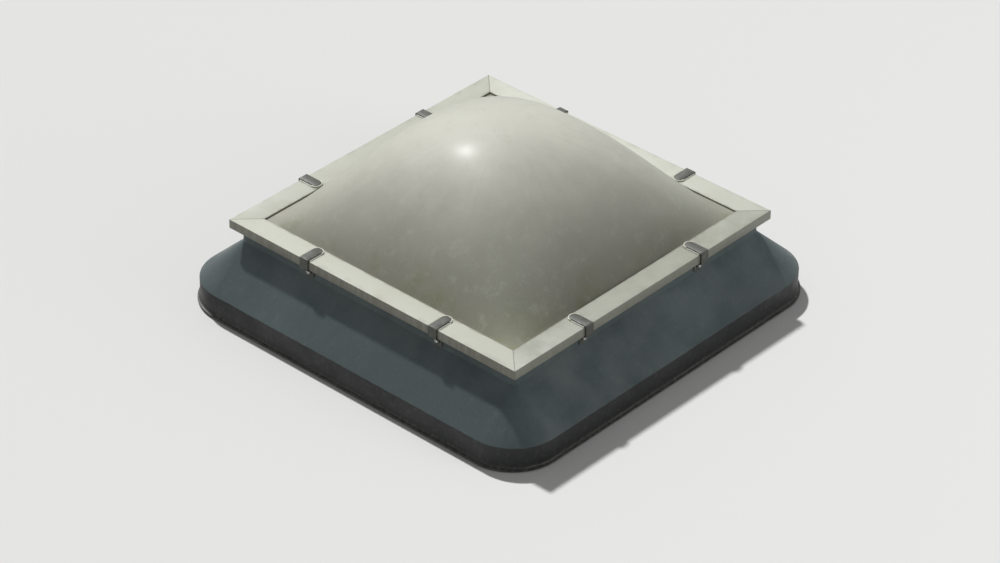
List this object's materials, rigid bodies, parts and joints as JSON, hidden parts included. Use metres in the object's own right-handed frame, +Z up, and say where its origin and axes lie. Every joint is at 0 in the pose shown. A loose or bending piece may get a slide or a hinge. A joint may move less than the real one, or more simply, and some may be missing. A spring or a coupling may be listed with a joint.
{
  "type": "roof skylight",
  "caption": "Fixed square rooflight: a blown, double-glazed plastic dome held by clamps under a mitred metal frame, on a splayed and insulated curb.",
  "frame": {"origin": "middle of the underside of the bedding strip, on the roof deck", "axes": "+Z up; +X and +Y square to the sides; front is -Y, right is +X, back is +Y, left is -X"},
  "size_m": [1.21, 1.21, 0.52],
  "materials": {
    "curb_laminate": "weathered satin",
    "bedding_strip": "matt",
    "dome_outer_skin": "gloss, lightly soiled",
    "dome_inner_skin": "gloss",
    "spacer": "matt",
    "gasket": "matt",
    "fixings": "zinc plated",
    "timber": "sawn",
    "foam": "matt",
    "frame_coating": "weathered satin cream",
    "clamp_coating": "satin",
    "pad": "satin",
    "cleat_metal": "mill"
  },
  "bodies": {
    "root": {"curb_shell": "curb_laminate", "base_seal": "bedding_strip", "dome_outer": "dome_outer_skin", "dome_inner": "dome_inner_skin", "skin_spacer": "spacer", "lower_gasket": "gasket", "upper_gasket": "gasket", "clamp_screws": "fixings", "clamp_washers": "gasket", "cleat_pins": "fixings", "batten_front": "timber", "insulation_front": "foam", "frame_front": "frame_coating", "clamp_front_1": "clamp_coating", "clamp_pad_front_1": "pad", "clamp_front_2": "clamp_coating", "clamp_pad_front_2": "pad", "batten_right": "timber", "insulation_right": "foam", "frame_right": "frame_coating", "clamp_right_1": "clamp_coating", "clamp_pad_right_1": "pad", "clamp_right_2": "clamp_coating", "clamp_pad_right_2": "pad", "batten_back": "timber", "insulation_back": "foam", "frame_back": "frame_coating", "clamp_back_1": "clamp_coating", "clamp_pad_back_1": "pad", "clamp_back_2": "clamp_coating", "clamp_pad_back_2": "pad", "batten_left": "timber", "insulation_left": "foam", "frame_left": "frame_coating", "clamp_left_1": "clamp_coating", "clamp_pad_left_1": "pad", "clamp_left_2": "clamp_coating", "clamp_pad_left_2": "pad", "cleat_front_left": "cleat_metal", "cleat_front_right": "cleat_metal", "cleat_back_right": "cleat_metal", "cleat_back_left": "cleat_metal"}
  },
  "joints": []
}
